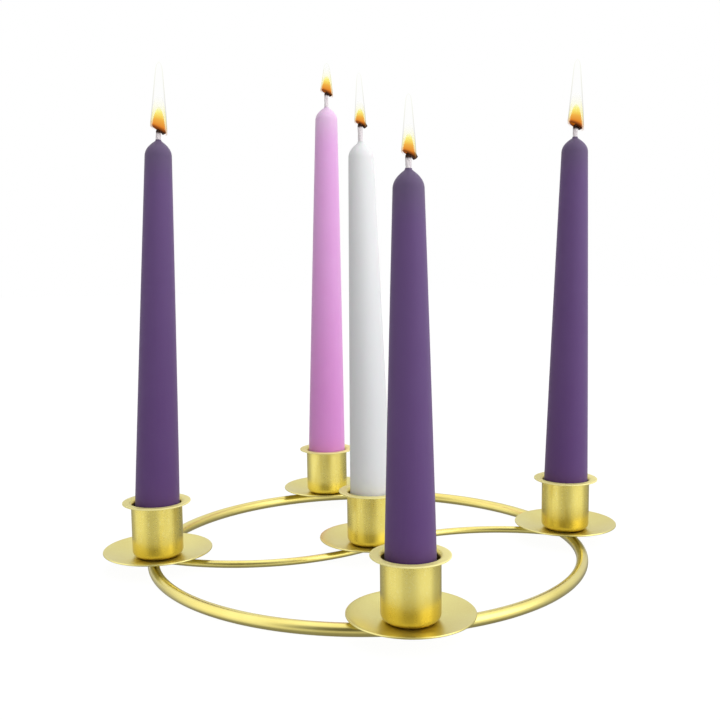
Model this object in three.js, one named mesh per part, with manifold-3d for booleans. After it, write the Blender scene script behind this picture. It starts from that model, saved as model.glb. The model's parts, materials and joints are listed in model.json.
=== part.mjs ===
// Candle holder for five taper candles, in millimetres, +Z up.
// A ring of round rod stands on the table. Four saucers are welded on it, and a fifth on an S-shaped bar
// across its middle. A deep drawn cup stands in each saucer, and a taper candle is pushed into each cup.
// The origin is on the table, under the middle of the ring, with the right saucer on +X.
import * as THREE from "three";
import { mergeVertices } from "three/addons/utils/BufferGeometryUtils.js";
import Module from "manifold-3d";

const degrees = Math.PI / 180;

// Ring of round rod
const ringRadius = 115; // to the middle of the rod
const ringRod = 6;

// S-shaped bar across the ring
const barRod = 3.8;
const barHeading = 34.3 * degrees; // its slant where the S turns over
const barSlide = 2.6; // from the middle saucer's centre to the turn of the S, along the bar
const barEndOffset = 3; // from the line to the outer saucer's centre, where the bar meets the ring
const weldGap = 0.3;

// Saucers
const dishSheet = 0.8;
const dripWidth = 15.15; // from the cup's wall to the saucer's rim
const dishFloorMargin = 0.4; // flat floor past the cup's foot
const dishBend = 30;
const dishSlope = 14.2 * degrees;

// Cups
const cupHeight = 29;
const cupWall = 0.7;
const cupCorner = 3.6; // outside radius at the foot
const flangeWidth = 4.45; // from the cup's wall to the flange's edge
const flangeBend = 1.9; // radius under the flange

// Candles
const candleDiameter = 22.2; // 7/8 inch, at the foot
const candlePlay = 0.8; // of the thickest candle in its cup
const candleSeatGap = 0.3;
const footChamfer = 3.6;
const shoulderDiameter = 13.2;
const taperBow = 1.07; // 1 is a straight taper
const domeHeight = 8.1;

// Wicks
const wickDiameter = 2.6;
const wickGap = 0.3;
const wickHookRadius = 2; // of the burnt end, which hooks over towards +X
const wickHook = 120 * degrees;

// Each seat carries a saucer, a cup and a candle. Inset is from the ring's middle line. Lean is how far the
// candle tips towards +X in its cup. It and angle are in degrees. Girth is a share of the usual thickness.
// Length is the wax's, and wick is how far the wick stands out of it before its hook.
const purple = "#654875";
const pink = "#cf93cb";
const white = "#dedede";
const rightSeat = {
  name: "right", angle: 0, inset: 0, girth: 1.085, length: 217.3, lean: 0.87, wick: 4.7, wax: purple,
};
const backSeat = {
  name: "back", angle: 92.5, inset: 0, girth: 1.07, length: 249.2, lean: 0.78, wick: 7.5, wax: pink,
};
const leftSeat = {
  name: "left", angle: 180, inset: 2.6, girth: 1.03, length: 213.1, lean: 2.06, wick: 3.5, wax: purple,
};
const frontSeat = {
  name: "front", angle: 268.3, inset: 0, girth: 1, length: 188.8, lean: 0, wick: 4.3, wax: purple,
};
const centreSeat = {
  name: "centre", girth: 1, length: 213, lean: -1.09, wick: 7.7, wax: white,
};
const centrePlace = { x: 1.8, y: -2.8 }; // from the middle of the ring
const ringSeats = [rightSeat, backSeat, leftSeat, frontSeat];

// Facets
const ringSides = 10;
const ringSteps = 72;
const barSides = 8;
const barSteps = 24; // on each half
const dishSteps = 48;
const cupSteps = 32;
const candleSteps = 24;
const wickSides = 6;
const wickSteps = 7; // the straight run and six round the hook

// Heights
const ringTop = ringRod;
const cupBase = ringTop + dishSheet;
const cupFloor = cupBase + cupWall;

// Radii
const girths = [...ringSeats, centreSeat].map((seat) => seat.girth);
const cupBore = (candleDiameter * Math.max(...girths) + candlePlay) / 2;
const cupRadius = cupBore + cupWall;
const cupFoot = cupRadius - cupCorner;
const dishFloor = cupFoot + dishFloorMargin;
const dishRadius = cupRadius + dripWidth;

const holderMetal = new THREE.MeshStandardMaterial({ color: "#d8c46a", roughness: 0.38, metalness: 1 });
const wickCotton = new THREE.MeshStandardMaterial({ color: "#3a2c26", roughness: 0.95, metalness: 0 });

function waxOf(colour) {
  return new THREE.MeshStandardMaterial({ color: colour, roughness: 0.5, metalness: 0 });
}

function named(name, geometry, material) {
  const mesh = new THREE.Mesh(geometry, material);
  mesh.name = name;
  return mesh;
}

// Turns a section round the Z axis. Its points are (radius, height).
function turned(section, steps) {
  return new THREE.LatheGeometry(section, steps).rotateX(Math.PI / 2);
}

// A rod's section, with a flat at the top and the bottom and its flats on the round rod's surface.
function rodSection(diameter, sides, place = new THREE.Vector2()) {
  const corner = diameter / 2 / Math.cos(Math.PI / sides);
  const first = Math.PI / 2 + Math.PI / sides;
  return Array.from({ length: sides }, (_, i) => {
    const angle = first + (i * 2 * Math.PI) / sides;
    return new THREE.Vector2(corner * Math.cos(angle), corner * Math.sin(angle)).add(place);
  });
}

// Draws a sheet's underside from the axis outwards, as straight runs and round bends.
class SheetPen {
  constructor() {
    this.heading = 0;
    this.at = new THREE.Vector2();
    this.stops = [];
    this.mark();
  }

  mark() {
    this.stops.push({ at: this.at.clone(), heading: this.heading });
  }

  run(length) {
    this.at.add(new THREE.Vector2(Math.cos(this.heading), Math.sin(this.heading)).multiplyScalar(length));
    this.mark();
  }

  bend(radius, angle, steps) {
    const side = Math.sign(angle);
    const hub = this.normal(this.heading, side * radius).add(this.at);
    const start = this.heading;
    for (let i = 1; i <= steps; i++) {
      this.heading = start + (angle * i) / steps;
      this.at = this.normal(this.heading, -side * radius).add(hub);
      this.mark();
    }
  }

  normal(heading, length) {
    return new THREE.Vector2(-Math.sin(heading) * length, Math.cos(heading) * length);
  }

  // The closed section of a sheet of this thickness on top of the drawn line
  section(thickness) {
    const under = this.stops.map((stop) => stop.at);
    const over = this.stops.map((stop) => this.normal(stop.heading, thickness).add(stop.at));
    return [...under, ...over.reverse()];
  }
}

function dishGeometry() {
  const bendSteps = 3;
  const pen = new SheetPen();
  pen.run(dishFloor);
  pen.bend(dishBend, dishSlope, bendSteps);
  pen.run((dishRadius - pen.at.x) / Math.cos(dishSlope));
  return turned(pen.section(dishSheet), dishSteps);
}

function cupGeometry() {
  const cornerSteps = 3;
  const flangeSteps = 3;
  const wallTop = cupHeight - cupWall - flangeBend;
  const pen = new SheetPen();
  pen.run(cupFoot);
  pen.bend(cupCorner, Math.PI / 2, cornerSteps);
  pen.run(wallTop - pen.at.y);
  pen.bend(flangeBend, -Math.PI / 2, flangeSteps);
  pen.run(cupRadius + flangeWidth - pen.at.x);
  return turned(pen.section(cupWall), cupSteps);
}

// A taper candle on its own axis, foot at 0, with the wick's bore down its middle
function candleGeometry(girth, length) {
  const taperSteps = 3;
  const domeSteps = 4;
  const foot = (candleDiameter * girth) / 2;
  const shoulder = (shoulderDiameter * girth) / 2;
  const bore = wickDiameter / 2 + wickGap;
  const rim = cupHeight - cupWall;
  const shoulderHeight = length - domeHeight;
  const section = [
    new THREE.Vector2(bore, 0),
    new THREE.Vector2(foot - footChamfer, 0),
    new THREE.Vector2(foot, footChamfer),
  ];
  for (let i = 0; i <= taperSteps; i++) {
    const share = i / taperSteps;
    const radius = foot - (foot - shoulder) * share ** taperBow;
    section.push(new THREE.Vector2(radius, rim + (shoulderHeight - rim) * share));
  }
  for (let i = 1; i <= domeSteps; i++) {
    const share = i / domeSteps;
    const radius = shoulder - (shoulder - bore) * share ** 2;
    section.push(new THREE.Vector2(radius, shoulderHeight + domeHeight * share));
  }
  section.push(section[0].clone());
  return turned(section, candleSteps);
}

// A wick on its candle's axis: the first step runs straight up the bore, and the others go round the hook.
class WickLine extends THREE.Curve {
  constructor(straight) {
    super();
    this.straight = straight;
  }

  turnAt(share) {
    return (Math.max(0, share * wickSteps - 1) / (wickSteps - 1)) * wickHook;
  }

  getPointAt(share, target = new THREE.Vector3()) {
    const turn = this.turnAt(share);
    const up = Math.min(1, share * wickSteps) * this.straight;
    return target.set(wickHookRadius * (1 - Math.cos(turn)), 0, up + wickHookRadius * Math.sin(turn));
  }

  getTangentAt(share, target = new THREE.Vector3()) {
    const turn = this.turnAt(share);
    return target.set(Math.sin(turn), 0, Math.cos(turn));
  }
}

function wickGeometry(height) {
  const section = new THREE.Shape(rodSection(wickDiameter, wickSides));
  return new THREE.ExtrudeGeometry(section, { steps: wickSteps, extrudePath: new WickLine(height) });
}

function ringGeometry() {
  const section = rodSection(ringRod, ringSides, new THREE.Vector2(ringRadius, ringRod / 2));
  return turned([...section, section[0].clone()], ringSteps);
}

function polar(radius, angle) {
  return new THREE.Vector2(Math.cos(angle), Math.sin(angle)).multiplyScalar(radius);
}

// The bar's middle line: two arcs that meet with one heading where the S turns over. Each runs to the middle
// of the ring's rod, on the hollow side of the line to its outer saucer.
class BarLine extends THREE.Curve {
  constructor(turn, leftEnd, rightEnd, height) {
    super();
    this.turn = turn;
    this.height = height;
    this.left = this.arcTo(turn.clone().sub(leftEnd));
    this.right = this.arcTo(rightEnd.clone().sub(turn));
  }

  arcTo(chord) {
    const apart = barHeading - Math.atan2(chord.y, chord.x);
    return { sweep: 2 * apart, radius: chord.length() / (2 * Math.sin(apart)) };
  }

  getPointAt(share, target = new THREE.Vector3()) {
    const side = share < 0.5 ? -1 : 1;
    const arc = share < 0.5 ? this.left : this.right;
    const heading = barHeading - Math.abs(2 * share - 1) * arc.sweep;
    const x = arc.radius * (Math.sin(barHeading) - Math.sin(heading));
    const y = arc.radius * (Math.cos(heading) - Math.cos(barHeading));
    return target.set(this.turn.x + side * x, this.turn.y + side * y, this.height);
  }

  getTangentAt(share, target = new THREE.Vector3()) {
    const arc = share < 0.5 ? this.left : this.right;
    const heading = barHeading - Math.abs(2 * share - 1) * arc.sweep;
    return target.set(Math.cos(heading), Math.sin(heading), 0);
  }
}

// Solids that are cut by each other
const wasm = await Module();
wasm.setup();

function solidOf(geometry) {
  const bare = geometry.clone();
  bare.deleteAttribute("normal");
  bare.deleteAttribute("uv");
  const merged = mergeVertices(bare);
  return new wasm.Manifold(
    new wasm.Mesh({
      numProp: 3,
      vertProperties: merged.attributes.position.array,
      triVerts: new Uint32Array(merged.index.array),
    }),
  );
}

function geometryOf(solid) {
  const mesh = solid.getMesh();
  return new THREE.BufferGeometry()
    .setAttribute("position", new THREE.BufferAttribute(mesh.vertProperties, 3))
    .setIndex(new THREE.BufferAttribute(mesh.triVerts, 1));
}

// The bar's top is level with the ring's, and its ends are cut to the ring's inner side.
function barGeometry() {
  const seatAngle = Object.fromEntries(ringSeats.map((seat) => [seat.name, seat.angle * degrees]));
  const endTurn = barEndOffset / ringRadius;
  const line = new BarLine(
    polar(barSlide, barHeading).add(new THREE.Vector2(centrePlace.x, centrePlace.y)),
    polar(ringRadius, seatAngle.left - endTurn),
    polar(ringRadius, seatAngle.right - endTurn),
    ringTop - barRod / 2,
  );
  const section = new THREE.Shape(rodSection(barRod, barSides));
  const rod = new THREE.ExtrudeGeometry(section, { steps: 2 * barSteps, extrudePath: line });
  const ringCorner = ringRod / 2 / Math.cos(Math.PI / ringSides);
  const inside = (ringRadius - ringCorner) * Math.cos(Math.PI / ringSteps) - weldGap;
  const core = new THREE.CylinderGeometry(inside, inside, 4 * ringRod, 2 * ringSteps).rotateX(Math.PI / 2);
  return geometryOf(solidOf(rod).intersect(solidOf(core)));
}

// A candle and its wick, tipped about the middle of the cup's depth
function candleOf(seat) {
  const lean = seat.lean * degrees;
  const pivot = (cupHeight - cupWall) / 2;
  const footEdge = (candleDiameter * seat.girth) / 2 - footChamfer;
  const lift = candleSeatGap + footEdge * Math.sin(Math.abs(lean));
  const tipped = new THREE.Group();
  tipped.position.z = cupFloor + lift + pivot;
  tipped.rotation.y = lean;
  const candle = named(seat.name + "_candle", candleGeometry(seat.girth, seat.length), waxOf(seat.wax));
  const wick = named(seat.name + "_wick", wickGeometry(seat.length + seat.wick), wickCotton);
  candle.position.z = -pivot;
  wick.position.z = -pivot;
  return tipped.add(candle, wick);
}

function seatOf(seat, x, y) {
  const place = new THREE.Group();
  place.position.set(x, y, 0);
  const saucer = named(seat.name + "_saucer", dishGeometry(), holderMetal);
  const cup = named(seat.name + "_cup", cupGeometry(), holderMetal);
  saucer.position.z = ringTop;
  cup.position.z = cupBase;
  return place.add(saucer, cup, candleOf(seat));
}

const candleHolder = new THREE.Group();
candleHolder.add(named("outer_ring", ringGeometry(), holderMetal));
candleHolder.add(named("cross_bar", barGeometry(), holderMetal));
for (const seat of ringSeats) {
  const place = polar(ringRadius - seat.inset, seat.angle * degrees);
  candleHolder.add(seatOf(seat, place.x, place.y));
}
candleHolder.add(seatOf(centreSeat, centrePlace.x, centrePlace.y));

export default candleHolder;
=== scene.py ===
import json
import math

import bpy
import numpy as np
from mathutils import Matrix, Vector


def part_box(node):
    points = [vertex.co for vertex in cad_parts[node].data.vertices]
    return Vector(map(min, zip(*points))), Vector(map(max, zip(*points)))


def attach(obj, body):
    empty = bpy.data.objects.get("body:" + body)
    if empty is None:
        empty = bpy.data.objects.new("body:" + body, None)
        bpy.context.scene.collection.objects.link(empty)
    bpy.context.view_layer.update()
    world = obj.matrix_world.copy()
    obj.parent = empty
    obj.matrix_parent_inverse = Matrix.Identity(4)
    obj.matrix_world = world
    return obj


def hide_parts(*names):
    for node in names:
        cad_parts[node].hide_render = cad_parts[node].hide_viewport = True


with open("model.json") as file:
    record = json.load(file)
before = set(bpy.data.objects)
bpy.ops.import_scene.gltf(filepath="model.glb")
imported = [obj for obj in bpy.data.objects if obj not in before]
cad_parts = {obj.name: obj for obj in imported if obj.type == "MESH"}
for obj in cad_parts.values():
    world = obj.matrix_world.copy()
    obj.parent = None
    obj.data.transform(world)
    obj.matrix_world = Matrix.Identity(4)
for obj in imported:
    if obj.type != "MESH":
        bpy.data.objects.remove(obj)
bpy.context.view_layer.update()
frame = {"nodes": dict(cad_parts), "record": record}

seats = ["right", "back", "left", "front", "centre"]


# Camera, where the photograph was taken from
camera = {
    "place": (-0.0939, -0.4902, 0.1607),
    "forward": (0.1812, 0.9775, -0.1077),
    "up": (0.0307, 0.1038, 0.9941),
    "lens": 46.64,
    "sensor": 36,
}


def placeCamera():
    bpy.ops.object.camera_add(location=camera["place"])
    eye = bpy.context.object
    eye.name = "camera"
    eye.data.lens = camera["lens"]
    eye.data.sensor_width = camera["sensor"]
    eye.data.clip_start = 0.01
    back = -Vector(camera["forward"]).normalized()
    side = Vector(camera["up"]).cross(back).normalized()
    eye.rotation_euler = Matrix((side, back.cross(side), back)).transposed().to_euler()
    bpy.context.scene.camera = eye


# Shader wiring
class Wire:  # one socket, so that sums can be written as Python
    def __init__(self, finish, socket):
        self.finish = finish
        self.socket = socket

    def sum(self, operation, *values):
        inputs = dict(enumerate(values))
        return self.finish.add("ShaderNodeMath", {"operation": operation}, inputs)

    def __add__(self, other):
        return self.sum("ADD", self, other)

    def __radd__(self, other):
        return self.sum("ADD", other, self)

    def __sub__(self, other):
        return self.sum("SUBTRACT", self, other)

    def __rsub__(self, other):
        return self.sum("SUBTRACT", other, self)

    def __mul__(self, other):
        return self.sum("MULTIPLY", self, other)

    def __rmul__(self, other):
        return self.sum("MULTIPLY", other, self)

    def __truediv__(self, other):
        return self.sum("DIVIDE", self, other)

    def between(self, low, high):  # 0 at low, 1 at high, smooth in between
        return self.finish.add(
            "ShaderNodeMapRange",
            {"interpolation_type": "SMOOTHSTEP"},
            {"Value": self, "From Min": low, "From Max": high},
        )


class Finish:  # a material or world while its nodes are laid out
    def __init__(self, owner):
        owner.use_nodes = True
        self.tree = owner.node_tree
        self.tree.nodes.clear()

    def add(self, kind, settings=None, sockets=None, output=0):
        node = self.tree.nodes.new(kind)
        for name, value in (settings or {}).items():
            if name == "stops":
                self.setStops(node.color_ramp, value)
            else:
                setattr(node, name, value)
        for name, value in (sockets or {}).items():
            if isinstance(value, Wire):
                self.tree.links.new(value.socket, node.inputs[name])
            else:
                node.inputs[name].default_value = value
        return Wire(self, node.outputs[output]) if node.outputs else node

    def setStops(self, ramp, stops):
        while len(ramp.elements) < len(stops):
            ramp.elements.new(1)
        for element, (place, colour) in zip(ramp.elements, stops):
            element.position = place
            element.color = colour

    def coords(self):
        return self.add("ShaderNodeTexCoord", output="Object")

    def attribute(self, name):
        return self.add("ShaderNodeAttribute", {"attribute_name": name}, output="Fac")

    def noise(self, vector, scale, detail=3, roughness=0.5):
        sockets = {"Vector": vector, "Scale": scale, "Detail": detail, "Roughness": roughness}
        return self.add("ShaderNodeTexNoise", sockets=sockets)

    def stretched(self, vector, scale):
        return self.add("ShaderNodeMapping", sockets={"Vector": vector, "Scale": scale})

    def mix(self, factor, first, second):  # colours
        sockets = {0: factor, 6: first, 7: second}
        return self.add("ShaderNodeMix", {"data_type": "RGBA"}, sockets, output=2)

    def ramp(self, value, stops):
        return self.add("ShaderNodeValToRGB", {"stops": stops}, {"Fac": value}, output="Color")

    def bump(self, height, distance, strength=1.0, under=None):
        sockets = {"Height": height, "Distance": distance, "Strength": strength}
        if under is not None:
            sockets["Normal"] = under
        return self.add("ShaderNodeBump", sockets=sockets)

    def surface(self, shader, output="ShaderNodeOutputMaterial"):
        self.add(output, sockets={"Surface": shader})


def colour(red, green, blue):  # from the 0 to 255 of a picture to the light it stands for
    def light(part):
        share = part / 255
        return share / 12.92 if share <= 0.04045 else ((share + 0.055) / 1.055) ** 2.4
    return (light(red), light(green), light(blue), 1)


def grey(level):
    return (level, level, level, 1)


# Backdrop, floor and lamps
studio = {
    "floorSize": 8.0,
    "floorGlow": 0.955,
    "floorCatch": 0.12,
    "floorColour": colour(235, 235, 232),
    # What dull surfaces see, from the dim back left round to the bright right
    "fillTurned": math.radians(68),
    "fill": [(0.0, 0.20), (0.5, 0.78), (1.0, 1.20)],
    "lampsAim": (0, 0, 0.08),
    # What shiny surfaces see at five heights, from straight behind the object round to straight in front
    "turned": math.radians(-9),  # the dark front is a little to the left of the camera
    "round": [
        (-0.80, [(0.0, 0.26), (1.0, 0.30)]),
        (-0.30, [
            (0.0, 0.30), (0.07, 0.28), (0.17, 0.38), (0.40, 0.55),
            (0.54, 1.03), (0.90, 1.05), (0.975, 0.75), (1.0, 0.73),
        ]),
        (0.15, [
            (0.0, 0.80), (0.30, 0.75), (0.50, 1.0), (0.60, 1.35),
            (0.88, 1.30), (0.95, 0.30), (1.0, 0.06),
        ]),
        (0.66, [(0.0, 0.85), (0.50, 1.35), (0.87, 1.30), (0.95, 0.40), (1.0, 0.10)]),
        (0.90, [(0.0, 1.4), (1.0, 1.2)]),
    ],
}
lamps = {
    "keyLamp": {"place": (0.80, -0.68, 0.53), "size": (0.8, 1.1), "power": 3.2, "mirrored": True},
    "topLamp": {"place": (0.1, 0.1, 1.2), "size": (1.2, 1.2), "power": 3.4, "mirrored": False},
}


def setWorld():
    world = bpy.data.worlds.new("studioWorld")
    bpy.context.scene.world = world
    finish = Finish(world)
    path = finish.add("ShaderNodeLightPath").socket.node
    seen = Wire(finish, path.outputs["Is Camera Ray"])
    seenOrThrough = seen + Wire(finish, path.outputs["Is Transmission Ray"])
    direction = finish.add("ShaderNodeTexCoord", output="Generated")
    parts = finish.add("ShaderNodeSeparateXYZ", sockets={"Vector": direction}).socket.node
    height = Wire(finish, parts.outputs["Z"])
    flat = finish.add("ShaderNodeVectorMath", {"operation": "MULTIPLY"}, {0: direction, 1: (1, 1, 0)})
    flat = finish.add("ShaderNodeVectorMath", {"operation": "NORMALIZE"}, {0: flat})
    ahead = Vector(camera["forward"])
    ahead.z = 0

    def share(turned):  # 1 in front of the object, or so far round to the right of that, and 0 opposite
        axis = Matrix.Rotation(turned, 3, "Z") @ -ahead.normalized()
        sockets = {0: flat, 1: axis}
        dot = finish.add("ShaderNodeVectorMath", {"operation": "DOT_PRODUCT"}, sockets, output="Value")
        return dot / 2 + 0.5

    def lightFrom(place, stops):
        return finish.ramp(place, [(stop, grey(light / 2)) for stop, light in stops]) * 2

    toFront = share(studio["turned"])
    below, stops = studio["round"][0]
    glossy = lightFrom(toFront, stops)
    for level, stops in studio["round"][1:]:
        glossy = glossy + height.between(below, level) * (lightFrom(toFront, stops) - glossy)
        below = level
    dull = lightFrom(share(studio["fillTurned"]), studio["fill"])
    shiny = Wire(finish, path.outputs["Is Glossy Ray"])
    strength = dull + shiny * (glossy - dull)
    strength = strength + seenOrThrough * (1 - strength)
    sockets = {"Color": grey(1), "Strength": strength}
    finish.surface(finish.add("ShaderNodeBackground", sockets=sockets), "ShaderNodeOutputWorld")


def makeFloor():
    bpy.ops.mesh.primitive_plane_add(size=studio["floorSize"])
    floor = bpy.context.object
    floor.name = "studio_floor"
    material = bpy.data.materials.new("floorPaper")
    finish = Finish(material)
    path = finish.add("ShaderNodeLightPath").socket.node
    seen = Wire(finish, path.outputs["Is Camera Ray"])
    plain = finish.add("ShaderNodeBsdfDiffuse", sockets={"Color": studio["floorColour"]})
    catch = [part * studio["floorCatch"] for part in studio["floorColour"][:3]] + [1]
    shadow = finish.add("ShaderNodeBsdfDiffuse", sockets={"Color": catch})
    sockets = {"Color": grey(1), "Strength": studio["floorGlow"]}
    glow = finish.add("ShaderNodeEmission", sockets=sockets)
    bright = finish.add("ShaderNodeAddShader", sockets={0: shadow, 1: glow})
    finish.surface(finish.add("ShaderNodeMixShader", sockets={0: seen, 1: plain, 2: bright}))
    floor.data.materials.append(material)
    floor.visible_glossy = False


def hangLamps():
    aim = Vector(studio["lampsAim"])
    for name, lamp in lamps.items():
        bpy.ops.object.light_add(type="AREA", location=lamp["place"])
        light = bpy.context.object
        light.name = name
        light.data.shape = "RECTANGLE"
        light.data.size, light.data.size_y = lamp["size"]
        light.data.energy = lamp["power"]
        light.visible_glossy = lamp["mirrored"]
        light.rotation_euler = (Vector(lamp["place"]) - aim).to_track_quat("Z", "Y").to_euler()


# Modelling helpers
sameSpot = 1e-6  # points closer than this are one point


def nothingSelected():
    bpy.ops.object.select_all(action="DESELECT")


def place(piece, matrix):  # moves the mesh and leaves the object at the origin
    nothingSelected()
    piece.select_set(True)
    bpy.context.view_layer.objects.active = piece
    piece.location = matrix.to_translation()
    piece.rotation_euler = matrix.to_euler()
    bpy.ops.object.transform_apply(location=True, rotation=True, scale=True)


def copyOf(piece, name):
    twin = piece.copy()
    twin.data = piece.data.copy()
    twin.name = name
    bpy.context.scene.collection.objects.link(twin)
    return twin


def smooth(piece, angle=40):
    nothingSelected()
    piece.select_set(True)
    bpy.context.view_layer.objects.active = piece
    bpy.ops.object.shade_smooth_by_angle(angle=math.radians(angle))


def finishPiece(piece, material, body, slot, *nodes):
    piece.data.materials.clear()
    piece.data.materials.append(material)
    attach(piece, body)
    if nodes:
        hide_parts(*nodes)


def pullRings(stations):  # each ring of the skin is pulled out of the last one
    for (radius, height), (nextRadius, nextHeight) in zip(stations, stations[1:]):
        bpy.ops.mesh.extrude_edges_move(TRANSFORM_OT_translate={"value": (0, 0, nextHeight - height)})
        share = nextRadius / radius
        bpy.ops.transform.resize(value=(share, share, 1), center_override=(0, 0, nextHeight))


def turnSheet(name, stations, sides):  # an open skin that starts as a disc on the axis
    radius, height = stations[0]
    nothingSelected()
    bpy.ops.mesh.primitive_circle_add(vertices=sides, radius=radius, fill_type="TRIFAN")
    piece = bpy.context.object
    piece.name = name
    bpy.ops.object.mode_set(mode="EDIT")
    bpy.ops.mesh.select_mode(type="EDGE")
    bpy.ops.transform.translate(value=(0, 0, height))
    bpy.ops.mesh.select_all(action="DESELECT")
    bpy.ops.mesh.select_non_manifold()
    pullRings(stations)
    bpy.ops.mesh.select_all(action="SELECT")
    bpy.ops.mesh.normals_make_consistent(inside=False)
    bpy.ops.object.mode_set(mode="OBJECT")
    if piece.data.polygons[0].normal.z < 0:
        bpy.ops.object.mode_set(mode="EDIT")
        bpy.ops.mesh.flip_normals()
        bpy.ops.object.mode_set(mode="OBJECT")
    return piece


def turnSolid(name, stations, sides):  # a closed skin that comes round to its first ring
    radius, height = stations[0]
    nothingSelected()
    bpy.ops.mesh.primitive_circle_add(vertices=sides, radius=radius, fill_type="NOTHING")
    piece = bpy.context.object
    piece.name = name
    bpy.ops.object.mode_set(mode="EDIT")
    bpy.ops.mesh.select_mode(type="EDGE")
    bpy.ops.transform.translate(value=(0, 0, height))
    pullRings(stations + [stations[0]])
    closeSkin()
    bpy.ops.object.mode_set(mode="OBJECT")
    return piece


def closeSkin():
    bpy.ops.mesh.select_all(action="SELECT")
    bpy.ops.mesh.remove_doubles(threshold=sameSpot)
    bpy.ops.mesh.normals_make_consistent(inside=False)


def arc(centre, radius, start, end, steps):  # places round a bend, without its start
    turns = [start + (end - start) * step / steps for step in range(1, steps + 1)]
    return [(centre[0] + radius * math.cos(turn), centre[1] + radius * math.sin(turn)) for turn in turns]


def line(start, end, steps):  # places along a straight run, without its start
    shares = [step / steps for step in range(1, steps + 1)]
    return [tuple(a + (b - a) * share for a, b in zip(start, end)) for share in shares]


sheetEdge = {"segments": 4, "angle": math.radians(60)}


def thicken(piece, thickness, rim):  # sheet metal with a rounded edge
    nothingSelected()
    piece.select_set(True)
    bpy.context.view_layer.objects.active = piece
    solid = piece.modifiers.new("sheet", "SOLIDIFY")
    solid.thickness = thickness
    solid.offset = 1
    solid.use_even_offset = True
    bpy.ops.object.modifier_apply(modifier=solid.name)
    bevel = piece.modifiers.new("rim", "BEVEL")
    bevel.width = rim
    bevel.segments = sheetEdge["segments"]
    bevel.limit_method = "ANGLE"
    bevel.angle_limit = sheetEdge["angle"]
    bpy.ops.object.modifier_apply(modifier=bevel.name)


def measureTurned(node):  # a turned node's foot, height and greatest radius
    low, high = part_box(node)
    middle = (low + high) / 2
    return Vector((middle.x, middle.y, low.z)), high.z - low.z, (high.x - low.x) / 2


# Metal
metal = {
    # pale colour of the worn specks, and also of the painted highlight on the cups' flanges and lips
    "wornAndFlangeHighlight": colour(246, 236, 160),
    # painted shade at the cups' feet, where they meet the saucers
    "paintedFootShade": colour(200, 176, 72),
    "paintedFootShadeShare": 0.85,
    # how far the flange is painted towards the pale highlight colour
    "flangeHighlightShare": 0.85,
    "mattDulls": 0.24,
    "mattLessMetal": 0.5,
    "cloud": 38,
    "cloudDulls": 0.06,
    "grain": 2400,
    "grainDulls": 0.06,
    "grainDepth": 0.000012,
    "dimple": 1000,
    "dimpleDepth": 0.00002,
    "streak": (900, 900, 30),
    "streakDulls": 0.12,
    "lacquerRoughness": 0.24,
}
metalLooks = {
    "polishedRod": {
        "bright": colour(240, 226, 134), "shaded": colour(234, 217, 122),
        "metallic": 1.0, "roughness": 0.24,
        "lacquer": 0.6, "relief": 0.25, "specks": 0.1, "streaks": 0.0,
    },
    "satinCup": {
        "bright": colour(238, 223, 128), "shaded": colour(232, 215, 116),
        "metallic": 0.92, "roughness": 0.22,
        "lacquer": 0.0, "relief": 0.45, "specks": 0.5, "streaks": 0.3,
    },
    "mattSaucer": {
        "bright": colour(236, 226, 148), "shaded": colour(232, 219, 138),
        "metallic": 1.0, "roughness": 0.25,
        "lacquer": 0.0, "relief": 1.0, "specks": 0.3, "streaks": 0.0,
    },
}


def metalFinish(name):
    look = metalLooks[name]
    material = bpy.data.materials.new(name)
    finish = Finish(material)
    coords = finish.coords()
    cloud = finish.noise(coords, metal["cloud"], 4)
    grain = finish.noise(coords, metal["grain"], 2)
    dimple = finish.noise(coords, metal["dimple"], 3)
    streak = finish.noise(finish.stretched(coords, metal["streak"]), 1, 3).between(0.45, 0.7)
    streak = streak * look["streaks"]
    tone = finish.mix(cloud.between(0.35, 0.65), look["shaded"], look["bright"])
    tone = finish.mix(dimple.between(0.5, 0.75) * look["specks"], tone, metal["wornAndFlangeHighlight"])
    tone = finish.mix(streak, tone, look["shaded"])
    roughness = look["roughness"] + cloud * metal["cloudDulls"] + grain * metal["grainDulls"]
    roughness = roughness + streak * metal["streakDulls"]
    metallic = look["metallic"]
    if name == "satinCup":  # painted shade at its foot, where it meets the saucer, and duller on the flange, with a painted highlight that is palest at the lip
        tinted = finish.attribute("tinted").between(0.0, 0.7)
        tone = finish.mix(tinted * metal["paintedFootShadeShare"], tone, metal["paintedFootShade"])
        matt = finish.attribute("matt")
        tone = finish.mix(matt * metal["flangeHighlightShare"], tone, metal["wornAndFlangeHighlight"])
        roughness = roughness + matt * metal["mattDulls"]
        metallic = metallic - matt * metal["mattLessMetal"]
    relief = finish.bump(dimple, metal["dimpleDepth"] * look["relief"], 0.5)
    relief = finish.bump(grain, metal["grainDepth"] * look["relief"], 0.7, relief)
    shader = finish.add(
        "ShaderNodeBsdfPrincipled",
        sockets={
            "Base Color": tone,
            "Metallic": metallic,
            "Roughness": roughness,
            "Normal": relief,
            "Coat Weight": look["lacquer"],
            "Coat Roughness": metal["lacquerRoughness"],
        },
    )
    finish.surface(shader)
    return material


# Ring
ring = {"sides": 40, "steps": 240}


def ringRadii():  # to the middle of the rod, and the rod's own
    low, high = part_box("outer_ring")
    corners = np.array([vertex.co[:2] for vertex in frame["nodes"]["outer_ring"].data.vertices])
    out = np.hypot(corners[:, 0], corners[:, 1])
    return float(out.min() + out.max()) / 2, (high.z - low.z) / 2


def addRodSection(radius, sides, matrix):  # a circle that stands across the rod's line, in edit mode
    nothingSelected()
    bpy.ops.mesh.primitive_circle_add(vertices=sides, radius=radius)
    piece = bpy.context.object
    place(piece, matrix)
    bpy.ops.object.mode_set(mode="EDIT")
    bpy.ops.mesh.select_mode(type="EDGE")
    bpy.ops.mesh.select_all(action="SELECT")
    return piece


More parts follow.
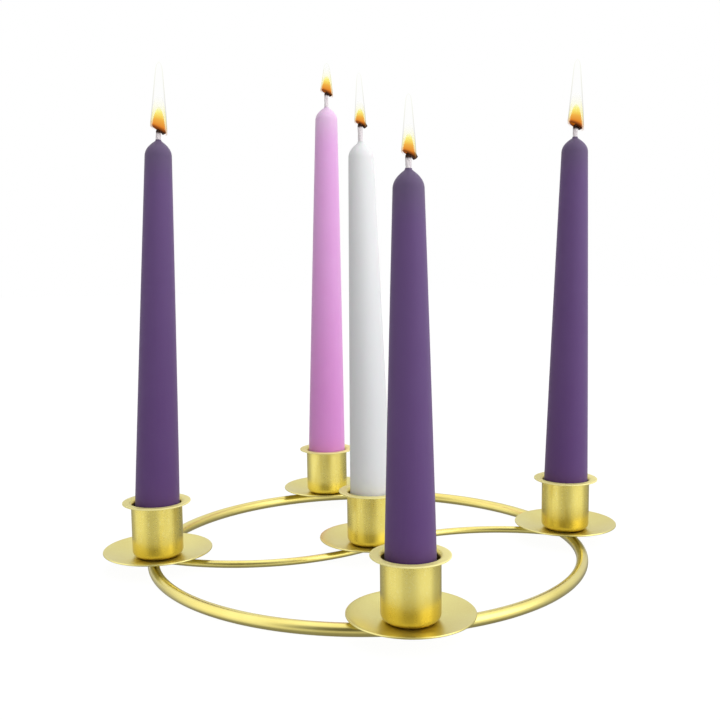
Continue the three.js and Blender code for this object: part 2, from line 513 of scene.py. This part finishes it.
def makeRing(name="outer_ring_rod", shrink=0.0):
    radius, rod = ringRadii()
    stand = Matrix.Translation((radius, 0, rod)) @ Matrix.Rotation(math.pi / 2, 4, "X")
    piece = addRodSection(rod - shrink, ring["sides"], stand)
    piece.name = name
    bpy.ops.mesh.spin(steps=ring["steps"], angle=2 * math.pi, center=(0, 0, 0), axis=(0, 0, 1))
    closeSkin()
    bpy.ops.object.mode_set(mode="OBJECT")
    smooth(piece)
    return piece


# Bar
bar = {
    "sides": 32,
    "steps": 90,
    "heading": math.radians(34.3),
    "slide": 0.0026,
    "endOffset": 0.003,
    "bite": 0.00002,  # into the ring's surface, so that no light shows between
}


def barHalf(turn, end, side):  # hub and sweep of one of the S's two arcs
    chord = (end - turn) * side
    apart = bar["heading"] - math.atan2(chord.y, chord.x)
    radius = chord.length / (2 * math.sin(apart))
    hub = turn + side * radius * Vector((math.sin(bar["heading"]), -math.cos(bar["heading"]), 0))
    return hub, 2 * apart


def barEnd(seat, ringRadius):
    middle = measureTurned(seat + "_saucer")[0]
    turn = math.atan2(middle.y, middle.x) - bar["endOffset"] / ringRadius
    return Vector((math.cos(turn), math.sin(turn), 0)) * ringRadius


def makeBar():
    low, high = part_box("cross_bar")
    rod = (high.z - low.z) / 2
    ringRadius = ringRadii()[0]
    along = Vector((math.cos(bar["heading"]), math.sin(bar["heading"]), 0))
    turn = measureTurned("centre_saucer")[0]
    turn.z = 0
    turn += along * bar["slide"]
    height = Vector((0, 0, (high.z + low.z) / 2))
    stand = Matrix.Translation(turn + height) @ along.to_track_quat("Z", "Y").to_matrix().to_4x4()
    piece = addRodSection(rod, bar["sides"], stand)
    piece.name = "cross_bar_rod"
    mesh = piece.data
    for end, side in ((barEnd("right", ringRadius), 1), (barEnd("left", ringRadius), -1)):
        hub, sweep = barHalf(turn, end, side)
        bpy.ops.object.mode_set(mode="OBJECT")
        for edge in mesh.edges:
            edge.select = all(
                abs((mesh.vertices[index].co - turn).dot(along)) < sameSpot for index in edge.vertices
            )
        bpy.ops.object.mode_set(mode="EDIT")
        bpy.ops.mesh.spin(steps=bar["steps"], angle=sweep, center=hub + height, axis=(0, 0, 1))
    bpy.ops.mesh.select_all(action="SELECT")
    bpy.ops.mesh.remove_doubles(threshold=sameSpot)
    bpy.ops.mesh.fill_holes(sides=0)
    closeSkin()
    bpy.ops.object.mode_set(mode="OBJECT")
    cutter = makeRing("bar_cutter", bar["bite"])
    nothingSelected()
    piece.select_set(True)
    bpy.context.view_layer.objects.active = piece
    cut = piece.modifiers.new("cope", "BOOLEAN")
    cut.operation = "DIFFERENCE"
    cut.solver = "EXACT"
    cut.object = cutter
    bpy.ops.object.modifier_apply(modifier=cut.name)
    bpy.data.objects.remove(cutter)
    smooth(piece)
    return piece


# Saucers
dish = {
    "sides": 160,
    "sheet": 0.0008,
    "floor": 0.0099435,
    "bend": 0.030,
    "slope": math.radians(14.2),
    "rim": 0.0003,
    "hub": 0.002,  # first ring of its skin
    "steps": {"floor": 3, "bend": 10, "slope": 5},
}


def makeDish():
    radius = measureTurned("front_saucer")[2]
    steps = dish["steps"]
    hub = (dish["hub"], 0)
    stations = [hub] + line(hub, (dish["floor"], 0), steps["floor"])
    bendCentre = (dish["floor"], dish["bend"])
    stations += arc(bendCentre, dish["bend"], -math.pi / 2, dish["slope"] - math.pi / 2, steps["bend"])
    bendEnd = stations[-1]
    rim = (radius, bendEnd[1] + (radius - bendEnd[0]) * math.tan(dish["slope"]))
    stations += line(bendEnd, rim, steps["slope"])
    piece = turnSheet("saucer_pattern", stations, dish["sides"])
    thicken(piece, dish["sheet"], dish["rim"])
    smooth(piece)
    return piece


# Cups
cup = {
    "sides": 144,
    "wall": 0.0007,
    "flange": 0.00445,
    "corner": 0.0036,
    "flangeBend": 0.0013,
    "footShadeReach": 0.018,  # how far the painted shade at the foot climbs the wall
    # how dark the painted shade at the foot is on each seat's cup
    "footShades": {"right": 1.0, "back": 0.35, "left": 0.75, "front": 1.0, "centre": 0.55},
    "rim": 0.00026,
    "mattAndHighlightFrom": 0.0004,  # how far outside the wall's skin the flange turns matt and gets its painted highlight
    # the lip is matter still, and painted fully in the pale highlight colour
    "lipMattAndHighlight": 1.5,
    "hub": 0.002,  # first ring of its skin
    "steps": {"floor": 3, "corner": 12, "wall": 8, "bend": 10, "lip": 3},
}


def makeCup():
    height, radius = measureTurned("front_cup")[1:]
    wall = radius - cup["flange"]
    floor = wall - cup["corner"]
    quarter = math.pi / 2
    top = height - cup["wall"]
    bend = cup["flangeBend"]
    steps = cup["steps"]
    hub = (cup["hub"], 0)
    stations = [hub] + line(hub, (floor, 0), steps["floor"])
    stations += arc((floor, cup["corner"]), cup["corner"], -quarter, 0, steps["corner"])
    stations += line(stations[-1], (wall, top - bend), steps["wall"])
    stations += arc((wall + bend, top - bend), bend, 2 * quarter, quarter, steps["bend"])
    stations += line(stations[-1], (radius, top), steps["lip"])
    piece = turnSheet("cup_pattern", stations, cup["sides"])
    thicken(piece, cup["wall"], cup["rim"])
    outs = [math.hypot(vertex.co.x, vertex.co.y) for vertex in piece.data.vertices]
    lip = radius - 2 * cup["rim"]
    flange = wall + cup["mattAndHighlightFrom"]
    # 1 on the flange and more at the lip: a duller finish and a painted highlight
    matt = [cup["lipMattAndHighlight"] if out > lip else float(out > flange) for out in outs]
    piece.data.attributes.new("matt", "FLOAT", "POINT").data.foreach_set("value", matt)
    smooth(piece)
    return piece


def shadeCupFoot(piece, strength):  # painted shade at the foot, where the cup meets the saucer
    tinted = [max(0.0, 1 - vertex.co.z / cup["footShadeReach"]) * strength for vertex in piece.data.vertices]
    piece.data.attributes.new("tinted", "FLOAT", "POINT").data.foreach_set("value", tinted)


# Braze under the saucers and round the bar's ends
braze = {
    "sides": 16,
    "ripples": 8,
    "neck": 0.86,
    "ringWithin": 0.001,  # points this close to a ripple's height belong to it
    "bead": (0.0125, 0.0016, 0.0011),
    "out": 0.0012,  # from the rod's top line
    "sunk": 0.3,
    "collar": (0.0014, 0.0020, 0.0009),  # more than the bar's own thickness along the ring and upwards
}


def selectPoints(piece, test):  # in edit mode, by place
    bpy.ops.mesh.select_mode(type="VERT")
    bpy.ops.mesh.select_all(action="DESELECT")
    bpy.ops.object.mode_set(mode="OBJECT")
    for vertex in piece.data.vertices:
        vertex.select = test(vertex.co)
    bpy.ops.object.mode_set(mode="EDIT")


def makeBead(name, size):  # a run of braze along X, necked between its ripples
    nothingSelected()
    rings = braze["ripples"] * 2
    bpy.ops.mesh.primitive_uv_sphere_add(segments=braze["sides"], ring_count=rings, radius=0.5)
    piece = bpy.context.object
    piece.name = name
    heights = sorted({round(vertex.co.z, 4) for vertex in piece.data.vertices})
    bpy.ops.object.mode_set(mode="EDIT")
    neck = braze["neck"]
    for height in heights[2:-2:2]:
        selectPoints(piece, lambda point: abs(point.z - height) < braze["ringWithin"])
        bpy.ops.transform.resize(value=(neck, neck, 1), center_override=(0, 0, height))
    bpy.ops.mesh.select_all(action="SELECT")
    bpy.ops.transform.resize(value=(size[2], size[1], size[0]), center_override=(0, 0, 0))
    bpy.ops.object.mode_set(mode="OBJECT")
    subdivide = piece.modifiers.new("rounded", "SUBSURF")
    subdivide.levels = 1
    subdivide.render_levels = 1
    bpy.ops.object.modifier_apply(modifier=subdivide.name)
    place(piece, Matrix.Rotation(math.pi / 2, 4, "Y"))
    smooth(piece, 80)
    return piece


def layBead(pattern, name, middle, heading, material):
    piece = copyOf(pattern, name)
    place(piece, Matrix.Translation(middle) @ Matrix.Rotation(heading, 4, "Z"))
    finishPiece(piece, material, "holder", "holder_metal")


def brazeSaucers(material):
    pattern = makeBead("bead_pattern", braze["bead"])
    ringRadius = ringRadii()[0]
    for seat in seats:
        middle = measureTurned(seat + "_saucer")[0]
        if seat == "centre":
            heading = bar["heading"]
            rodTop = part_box("cross_bar")[1].z
        else:
            heading = math.atan2(middle.y, middle.x) + math.pi / 2
            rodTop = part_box("outer_ring")[1].z
            middle = Vector((middle.x, middle.y, 0)).normalized() * ringRadius
        middle.z = rodTop - braze["bead"][2] * braze["sunk"]
        across = Vector((-math.sin(heading), math.cos(heading), 0)) * braze["out"]
        layBead(pattern, seat + "_braze_inner", middle + across, heading, material)
        layBead(pattern, seat + "_braze_outer", middle - across, heading, material)
    bpy.data.objects.remove(pattern)


def brazeBar(material):  # where its ends meet the ring
    low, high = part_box("cross_bar")
    ringRadius, rod = ringRadii()
    thick = high.z - low.z
    along, across, up = braze["collar"]
    pattern = makeBead("collar_pattern", (thick + along, across, thick + up))
    for seat in ("right", "left"):
        middle = barEnd(seat, ringRadius - rod)
        heading = math.atan2(middle.y, middle.x) + math.pi / 2
        middle.z = (high.z + low.z) / 2
        layBead(pattern, seat + "_bar_braze", middle, heading, material)
    bpy.data.objects.remove(pattern)


def makeHolder():
    rodLook = metalFinish("polishedRod")
    finishPiece(makeRing(), rodLook, "holder", "holder_metal", "outer_ring")
    finishPiece(makeBar(), rodLook, "holder", "holder_metal", "cross_bar")
    patterns = {"saucer": makeDish(), "cup": makeCup()}
    looks = {"saucer": metalFinish("mattSaucer"), "cup": metalFinish("satinCup")}
    made = {"saucer": "sheet", "cup": "drawn"}
    for seat in seats:
        for node, pattern in patterns.items():
            name = seat + "_" + node
            piece = copyOf(pattern, name + "_" + made[node])
            if node == "cup":
                shadeCupFoot(piece, cup["footShades"][seat])
            place(piece, Matrix.Translation(measureTurned(name)[0]))
            finishPiece(piece, looks[node], "holder", "holder_metal", name)
    for pattern in patterns.values():
        bpy.data.objects.remove(pattern)
    brazeSaucers(rodLook)
    brazeBar(rodLook)
    print("ring, bar, saucers, cups and braze are made")


# Candles
taper = {
    "sides": 96,
    "bow": 1.07,
    "dome": 0.0081,
    "domeCurve": 2.3,
    "paintedCrownSheen": 0.026,  # how far down from the tip the wax is painted paler, a painted sheen of the light from above
    "chamfer": 0.0036,
    "cupDepth": 0.0283,
    "wickPlay": 0.00005,
    "creep": 0.0006,  # how far the wax climbs the wick
    "collar": (0.00018, 0.00005),  # how thick it is there, at the bottom and at the top
    "hair": 0.0002,  # points of a node this close to a height are at that height
    "steps": {"foot": 4, "chamfer": 3, "sleeve": 3, "shaft": 24, "dome": 15},
}


def candleAxis(node):  # foot and direction from the node's own corners
    corners = np.array([vertex.co[:] for vertex in frame["nodes"][node].data.vertices])
    middle = corners.mean(0)
    direction = np.linalg.eigh(np.cov((corners - middle).T))[1][:, -1]
    direction *= np.sign(direction[2])
    rise = (corners - middle) @ direction
    out = np.linalg.norm(corners - middle - rise[:, None] * direction, axis=1)
    foot = Vector(middle + direction * rise.min())
    turn = Vector((0, 0, 1)).rotation_difference(Vector(direction))
    return Matrix.Translation(foot) @ turn.to_matrix().to_4x4(), rise - rise.min(), out


def widthAt(rise, out, height):  # the node's greatest radius within a hair of a height
    near = np.abs(rise - height) < taper["hair"]
    return float(out[near].max())


def candleStations(rise, out, bore):
    length = float(rise.max())
    shoulderHeight = length - taper["dome"]
    footRadius = float(out.max())
    shoulder = widthAt(rise, out, shoulderHeight)
    edge = taper["chamfer"]
    cupDepth = taper["cupDepth"]
    steps = taper["steps"]
    stations = [(bore, 0.0)] + line((bore, 0), (footRadius - edge, 0), steps["foot"])
    stations += line(stations[-1], (footRadius, edge), steps["chamfer"])
    stations += line(stations[-1], (footRadius, cupDepth), steps["sleeve"])
    for step in range(1, steps["shaft"] + 1):
        share = step / steps["shaft"]
        radius = footRadius - (footRadius - shoulder) * share ** taper["bow"]
        stations.append((radius, cupDepth + (shoulderHeight - cupDepth) * share))
    for step in range(1, steps["dome"]):
        share = step / steps["dome"]
        radius = shoulder - (shoulder - bore) * share ** taper["domeCurve"]
        stations.append((radius, shoulderHeight + taper["dome"] * share))
    bottom, top = taper["collar"]
    climbed = length + taper["creep"]
    return stations + [(bore + bottom, length), (bore + top, climbed), (bore, climbed)]


def tagHeights(piece, name, top, reach):  # how far below the top each point lies, as a share of reach
    shares = [min(1.0, max(0.0, (top - vertex.co.z) / reach)) for vertex in piece.data.vertices]
    tag = piece.data.attributes.new(name, "FLOAT", "POINT")
    tag.data.foreach_set("value", shares)


# Each wax has its own colour at the foot and the top, and is darker towards the foot; the tip colour is
# a painted sheen of the light from above on the dome
wax = {
    "purple_wax": {
        "foot": colour(91, 62, 115), "top": colour(101, 77, 124), "tip": colour(99, 87, 113),
        "haze": 0.15,
    },
    "pink_wax": {
        "foot": colour(217, 140, 213), "top": colour(224, 171, 224), "tip": colour(230, 204, 230),
        "haze": 0.3,
    },
    "white_wax": {
        "foot": colour(219, 221, 225), "top": colour(227, 228, 230), "tip": colour(229, 230, 231),
        "haze": 0.1,
    },
}
waxBody = {
    "cloud": 60,
    "cloudShift": 0.3,  # how far the clouds move the change from top to foot
    "cloudDulls": 0.08,
    "streak": (900, 900, 18),
    "streakShare": 0.12,
    "mottle": 900,
    "mottleDulls": 0.08,
    "mottleDepth": 0.000015,
    "paintedCrownSheenShare": 0.75,
    "roughness": 0.42,
    "waves": 160,
    "wavesStretch": (1, 1, 0.25),
    "wavesDepth": 0.00006,
    "scatter": 0.25,
    "scatterReach": 0.003,
    "scatterTint": (1.0, 0.6, 0.8),
    "gloss": 0.12,
    "hazeRoughness": 0.5,
}


def waxFinish(slot):
    look = wax[slot]
    material = bpy.data.materials.new(slot.replace("_wax", "Wax"))
    finish = Finish(material)
    coords = finish.coords()
    cloud = finish.noise(coords, waxBody["cloud"], 4)
    streak = finish.noise(finish.stretched(coords, waxBody["streak"]), 1, 2)
    mottle = finish.noise(coords, waxBody["mottle"], 3)
    waves = finish.noise(finish.stretched(coords, waxBody["wavesStretch"]), waxBody["waves"], 2)
    shift = waxBody["cloudShift"]
    down = finish.attribute("down") + cloud * shift - shift / 2
    tone = finish.mix(down.between(-0.1, 1.1), look["top"], look["foot"])
    tone = finish.mix(streak.between(0.5, 0.8) * waxBody["streakShare"], tone, look["top"])
    # painted sheen on the dome, moving towards the tip colour
    paintedCrownSheen = 1 - finish.attribute("below").between(0.0, 1.0)
    tone = finish.mix(paintedCrownSheen * waxBody["paintedCrownSheenShare"], tone, look["tip"])
    roughness = waxBody["roughness"] + cloud * waxBody["cloudDulls"] + mottle * waxBody["mottleDulls"]
    relief = finish.bump(waves, waxBody["wavesDepth"], 0.5)
    relief = finish.bump(mottle, waxBody["mottleDepth"], 0.6, relief)
    shader = finish.add(
        "ShaderNodeBsdfPrincipled",
        sockets={
            "Base Color": tone,
            "Roughness": roughness,
            "Normal": relief,
            "Subsurface Weight": waxBody["scatter"],
            "Subsurface Radius": waxBody["scatterTint"],
            "Subsurface Scale": waxBody["scatterReach"],
            "Specular IOR Level": waxBody["gloss"],
            "IOR": 1.45,
            "Sheen Weight": look["haze"],
            "Sheen Roughness": waxBody["hazeRoughness"],
        },
    )
    finish.surface(shader)
    return material


# Wicks
wick = {
    "sides": 30,
    "strands": 3,
    "groove": 0.80,
    "grooveReach": 0.5,  # of the radius
    "twist": math.radians(19),  # in each step
    "step": 0.0011,
    "diameter": 0.0026,
    "hookRadius": 0.0012,
    "hook": math.radians(145),
    "hookSteps": 12,
    "tail": 0.0015,
    "tailSteps": 3,
    "tailShrink": 0.96,
    "tipShrink": 0.5,
    "fibre": 2600,
    "fibreDepth": 0.00008,
    "cotton": (colour(212, 202, 207), colour(242, 237, 239)),
    "char": (colour(24, 16, 12), colour(92, 52, 26)),
    "burnt": 0.0004,  # how far the burnt part reaches down the straight run
}


def wickHeight(seat, matrix):  # of the wick's straight run, from the candle's foot
    toCandle = matrix.inverted()
    top = max((toCandle @ vertex.co).z for vertex in frame["nodes"][seat + "_wick"].data.vertices)
    return top - wick["hookRadius"] - wick["diameter"] / 2


def makeWick(name, height):
    radius = wick["diameter"] / 2
    nothingSelected()
    bpy.ops.mesh.primitive_circle_add(vertices=wick["sides"], radius=radius, fill_type="NGON")
    piece = bpy.context.object
    piece.name = name
    bpy.ops.object.mode_set(mode="EDIT")
    bpy.ops.mesh.select_mode(type="VERT")
    bpy.ops.mesh.select_all(action="DESELECT")
    bpy.ops.object.mode_set(mode="OBJECT")
    every = wick["sides"] // wick["strands"]
    for index, vertex in enumerate(piece.data.vertices):
        vertex.select = index % every == 0
    bpy.ops.object.mode_set(mode="EDIT")
    bpy.ops.transform.resize(
        value=(wick["groove"], wick["groove"], 1),
        center_override=(0, 0, 0),
        use_proportional_edit=True,
        proportional_size=radius * wick["grooveReach"],
    )
    bpy.ops.mesh.select_mode(type="FACE")
    bpy.ops.mesh.select_all(action="SELECT")
    steps = max(2, round(height / wick["step"]))
    rise = height / steps
    for step in range(steps):
        bpy.ops.mesh.extrude_region_move(TRANSFORM_OT_translate={"value": (0, 0, rise)})
        turn = wick["twist"] * rise / wick["step"]
        bpy.ops.transform.rotate(value=turn, orient_axis="Z", center_override=(0, 0, rise * (step + 1)))
    hookCentre = (wick["hookRadius"], 0, height)
    turn = wick["hook"] / wick["hookSteps"]
    for step in range(wick["hookSteps"]):
        bpy.ops.mesh.extrude_region_move(TRANSFORM_OT_translate={"value": (0, 0, 0)})
        bpy.ops.transform.rotate(value=-turn, orient_axis="Y", center_override=hookCentre)
    stride = wick["tail"] / wick["tailSteps"]
    along = Vector((math.sin(wick["hook"]), 0, math.cos(wick["hook"]))) * stride
    for step in range(wick["tailSteps"]):
        bpy.ops.mesh.extrude_region_move(TRANSFORM_OT_translate={"value": along})
        bpy.ops.transform.resize(value=[wick["tailShrink"]] * 3)
    bpy.ops.mesh.extrude_region_move(TRANSFORM_OT_translate={"value": along / 3})
    bpy.ops.transform.resize(value=[wick["tipShrink"]] * 3)
    bpy.ops.mesh.select_all(action="SELECT")
    bpy.ops.mesh.normals_make_consistent(inside=False)
    bpy.ops.object.mode_set(mode="OBJECT")
    tag = piece.data.attributes.new("burnt", "FLOAT", "POINT")
    tag.data.foreach_set("value", [burntAt(vertex.co, height) for vertex in piece.data.vertices])
    return piece


def burntAt(point, height):  # 1 on the hook, 0 on the straight run
    up = (point.z - height + wick["burnt"]) / wick["burnt"]
    out = (point.x - wick["diameter"] / 2) / wick["burnt"]
    return min(1.0, max(0.0, up, out))


def wickFinish():
    material = bpy.data.materials.new("burntCotton")
    finish = Finish(material)
    coords = finish.coords()
    burnt = finish.attribute("burnt").between(0.0, 1.0)
    fibre = finish.noise(coords, wick["fibre"], 3)
    cotton = finish.mix(fibre.between(0.3, 0.7), *wick["cotton"])
    char = finish.mix(fibre.between(0.4, 0.7), *wick["char"])
    shader = finish.add(
        "ShaderNodeBsdfPrincipled",
        sockets={
            "Base Color": finish.mix(burnt, cotton, char),
            "Roughness": 0.9 - fibre * 0.1,
            "Normal": finish.bump(fibre, wick["fibreDepth"], 0.7),
        },
    )
    finish.surface(shader)
    return material


# Flames
flame = {
    "sides": 48,
    "steps": 24,
    "hub": 0.04,  # of the radius
    "base": [(0.80, 0.0), (0.93, 0.006), (0.985, 0.018)],  # out by the radius and up by the height
    "bodyFrom": 0.03,
    "curve": 1.15,
    "narrows": 0.67,
    "closesFrom": 0.88,
    "tip": 0.03,
    "rim": (0.25, 0.95),
    "aside": 0.0002,  # from the wick's middle towards its hook
    "slant": 0.50,  # how much lower the base is on the right, for each unit across
    "sink": 0.0010,  # base of the mantle under the top of the wick's straight run
    "lift": {"mantle": 0.0012, "glow": 0.0014, "heart": 0.0020},  # of each base above that of the mantle
    "heights": {"right": 0.0365, "back": 0.0195, "left": 0.0345, "front": 0.0250, "centre": 0.0270},
    "widths": {"right": 0.0089, "back": 0.0082, "left": 0.0086, "front": 0.0063, "centre": 0.0062},
}
flameLayers = {
    "mantle": {
        "wide": 1.0,
        "tall": None,
        "point": 1.0,
        # Colour, and how solid the body and the edge are, from the base up
        "stops": [
            (0.0, colour(150, 96, 50)),
            (0.06, colour(190, 150, 104)),
            (0.16, colour(196, 190, 160)),
            (0.40, colour(214, 212, 204)),
            (1.0, colour(236, 240, 200)),
        ],
        "body": [(0.0, 0.0), (0.03, 0.08), (0.15, 0.03), (0.25, 0.02), (0.9, 0.02), (1.0, 0.0)],
        "edge": [(0.0, 0.0), (0.03, 0.25), (0.08, 0.6), (0.3, 0.6), (0.75, 0.45), (1.0, 0.25)],
        "soft": 0.0,
    },
    "glow": {
        "wide": 0.92,
        "tall": 2.1,
        "point": 0.35,
        "stops": [
            (0.0, colour(226, 140, 60)),
            (0.14, colour(250, 206, 92)),
            (0.36, colour(255, 246, 128)),
            (0.65, colour(255, 252, 184)),
            (1.0, colour(255, 255, 236)),
        ],
        "body": [(0.0, 0.0), (0.08, 0.02), (0.17, 0.20), (0.45, 0.32), (0.70, 0.16), (1.0, 0.0)],
        "edge": [(0.0, 0.0), (0.03, 0.35), (0.5, 0.25), (0.8, 0.12), (1.0, 0.0)],
        "soft": 0.0,
    },
    "heart": {
        "wide": 0.84,
        "tall": 1.35,
        "point": 0.5,
        "stops": [
            (0.0, colour(78, 34, 8)),
            (0.07, colour(150, 70, 12)),
            (0.17, colour(226, 120, 16)),
            (0.42, colour(240, 150, 34)),
            (0.62, colour(250, 206, 70)),
            (0.80, colour(253, 246, 110)),
            (1.0, colour(255, 255, 200)),
        ],
        "body": [(0.0, 1.0), (0.45, 1.0), (0.75, 0.75), (1.0, 0.15)],
        "edge": [(0.0, 0.0), (1.0, 0.0)],
        "soft": 0.8,
    },
}


def flameStations(height, radius, point):
    base = [(radius * out, height * up) for out, up in flame["base"]]
    hub = (radius * flame["hub"], 0.0)
    stations = [hub] + line(hub, base[0], 3) + base[1:]
    start = flame["bodyFrom"]
    steps = flame["steps"]
    for step in range(1, steps + 1):
        share = step / steps
        fall = share ** flame["curve"]
        if point < 1:
            body = (1 - fall) ** point
        else:  # a slim cone with a rounded tip
            over = max(0.0, (share - flame["closesFrom"]) / (1 - flame["closesFrom"]))
            body = (1 - flame["narrows"] * fall) * math.sqrt(max(0.0, 1 - over ** 2))
        stations.append((radius * max(flame["tip"], body), height * (start + (1 - start) * share)))
    return stations


def makeFlame(name, height, radius, point, width):
    stations = flameStations(height, radius, point)
    nothingSelected()
    bpy.ops.mesh.primitive_circle_add(vertices=flame["sides"], radius=stations[0][0], fill_type="TRIFAN")
    piece = bpy.context.object
    piece.name = name
    bpy.ops.object.mode_set(mode="EDIT")
    bpy.ops.mesh.select_mode(type="EDGE")
    bpy.ops.mesh.select_all(action="DESELECT")
    bpy.ops.mesh.select_non_manifold()
    pullRings(stations)
    bpy.ops.mesh.fill_holes(sides=0)
    closeSkin()
    bpy.ops.object.mode_set(mode="OBJECT")
    tag = piece.data.attributes.new("rise", "FLOAT", "POINT")
    tag.data.foreach_set("value", [vertex.co.z / height for vertex in piece.data.vertices])
    for vertex in piece.data.vertices:
        vertex.co.z -= vertex.co.x * flame["slant"] * max(0, 1 - vertex.co.z / width)
    smooth(piece, 60)
    return piece


def flameFinish(layer):
    look = flameLayers[layer]
    material = bpy.data.materials.new("flame" + layer.capitalize())
    finish = Finish(material)
    rise = finish.attribute("rise")
    body, edge = (
        finish.ramp(rise, [(place, grey(level)) for place, level in look[part]])
        for part in ("body", "edge")
    )
    facing = finish.add("ShaderNodeLayerWeight", sockets={"Blend": 0.5}, output="Facing")
    rim = facing.between(*flame["rim"])
    alpha = body * (1 - rim * look["soft"]) + rim * edge
    shader = finish.add(
        "ShaderNodeBsdfPrincipled",
        sockets={
            "Base Color": (0, 0, 0, 1),
            "Roughness": 1,
            "Specular IOR Level": 0,
            "Emission Color": finish.ramp(rise, look["stops"]),
            "Emission Strength": 1,
            "Alpha": alpha,
        },
    )
    finish.surface(shader)
    return material


def makeTapers():
    waxes = {slot: waxFinish(slot) for slot in wax}
    cotton = wickFinish()
    glows = {layer: flameFinish(layer) for layer in flameLayers}
    slots = {row["node"]: row["material_slot"] for row in frame["record"]["subparts"]}
    for seat in seats:
        body = seat + "_taper"
        matrix, rise, out = candleAxis(seat + "_candle")
        bore = wick["diameter"] / 2 + taper["wickPlay"]
        candle = turnSolid(seat + "_candle_wax", candleStations(rise, out, bore), taper["sides"])
        length = float(rise.max())
        tagHeights(candle, "below", length, taper["paintedCrownSheen"])
        tagHeights(candle, "down", length, length)
        smooth(candle, 50)
        straight = wickHeight(seat, matrix)
        cord = makeWick(seat + "_wick_cotton", straight)
        smooth(cord, 50)
        place(candle, matrix)
        place(cord, matrix)
        slot = slots[seat + "_candle"]
        finishPiece(candle, waxes[slot], body, slot, seat + "_candle")
        finishPiece(cord, cotton, body, "wick", seat + "_wick")
        width = flame["widths"][seat]
        for layer, look in flameLayers.items():
            inner = layer != "mantle"
            height = width * look["tall"] if inner else flame["heights"][seat]
            name = seat + "_flame_" + layer
            piece = makeFlame(name, height, width / 2 * look["wide"], look["point"], width)
            base = straight - flame["sink"] + flame["lift"][layer]
            place(piece, matrix @ Matrix.Translation((flame["aside"], 0, base)))
            finishPiece(piece, glows[layer], body, "flame")
    print("candles, wicks and flames are made")


placeCamera()
setWorld()
makeFloor()
hangLamps()
print("camera, floor and lamps are set")
makeHolder()
makeTapers()

scene = bpy.context.scene
scene.view_settings.view_transform = "Standard"
